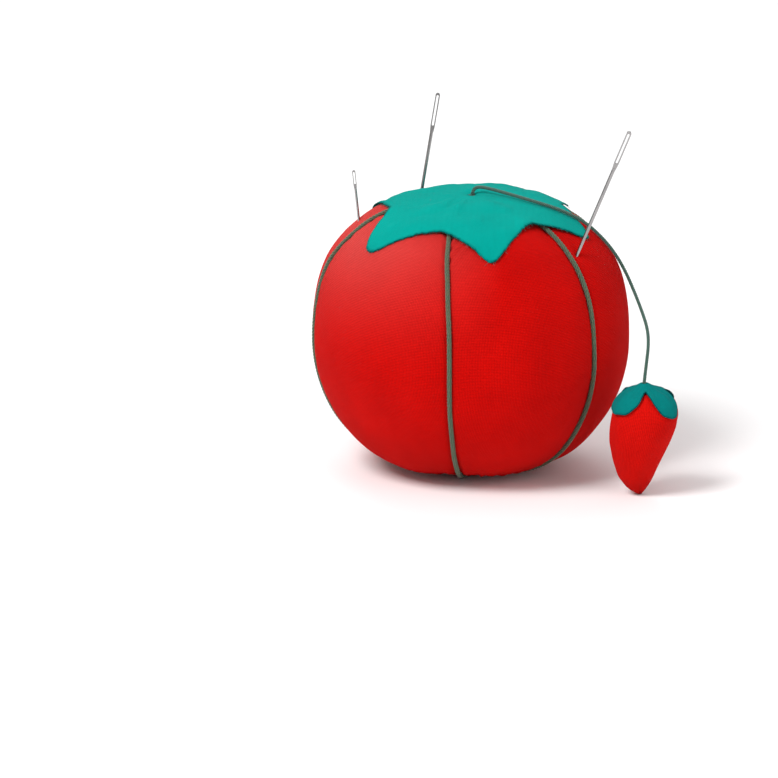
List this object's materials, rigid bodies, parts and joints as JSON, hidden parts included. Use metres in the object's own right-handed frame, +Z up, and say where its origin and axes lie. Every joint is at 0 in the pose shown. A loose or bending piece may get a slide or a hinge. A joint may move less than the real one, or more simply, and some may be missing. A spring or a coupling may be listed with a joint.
{
  "type": "pin cushion",
  "caption": "Round tomato pin cushion: red stuffed cover drawn in by cords, lobed green leaf, strawberry emery on a cord, and needles stuck in the top.",
  "frame": {"origin": "centre of the cushion's flat foot", "axes": "+Z up through the crown; -Y is the front, +X the side where the strawberry hangs"},
  "size_m": [0.1033, 0.09, 0.1036],
  "materials": {
    "cover": "matt woven cotton",
    "stuffing": "wool and sawdust",
    "thread": "sewing thread",
    "seam_cord": "twisted yarn",
    "leaf": "matt dyed cotton",
    "hanging_cord": "twisted yarn",
    "needle_steel": "polished nickel-plated steel",
    "emery": "emery grit"
  },
  "bodies": {
    "cushion": {"cover": "cover", "stuffing": "stuffing", "top_gather_thread": "thread", "bottom_gather_thread": "thread", "seam_cord_1": "seam_cord", "seam_cord_2": "seam_cord", "seam_cord_3": "seam_cord", "seam_cord_4": "seam_cord", "seam_cord_5": "seam_cord", "seam_cord_6": "seam_cord", "foot_knot": "seam_cord", "leaf": "leaf", "cord_anchor_knot": "hanging_cord", "hanging_cord_top": "hanging_cord"},
    "needle_back": {"needle_back": "needle_steel"},
    "needle_right": {"needle_right": "needle_steel"},
    "needle_left": {"needle_left": "needle_steel"},
    "strawberry_cord": {"hanging_cord_end": "hanging_cord"},
    "strawberry": {"strawberry_cover": "cover", "strawberry_filling": "emery", "strawberry_gather_thread": "thread", "strawberry_cap": "leaf", "strawberry_knot": "hanging_cord"}
  },
  "joints": [
    {"name": "needle_back_slide", "type": "slide", "parent": "cushion", "child": "needle_back", "axis": [0.1645, 0.1175, 0.9793], "range_m": [-0.008, 0.0245]},
    {"name": "needle_right_slide", "type": "slide", "parent": "cushion", "child": "needle_right", "axis": [0.3687, -0.0769, 0.9264], "range_m": [-0.008, 0.0165]},
    {"name": "needle_left_slide", "type": "slide", "parent": "cushion", "child": "needle_left", "axis": [-0.1042, 0.0694, 0.9921], "range_m": [-0.008, 0.0205]},
    {"name": "strawberry_swing", "type": "hinge", "parent": "cushion", "child": "strawberry_cord", "pos_m": [0.0429, -0.0006, 0.06035], "axis": [-0.5519, -0.8339, 0], "range_deg": [0, 80]},
    {"name": "strawberry_tilt", "type": "hinge", "parent": "strawberry_cord", "child": "strawberry", "pos_m": [0.04823, -0.0342, 0.0328], "axis": [-0.5519, -0.8339, 0], "range_deg": [0, 70]}
  ]
}
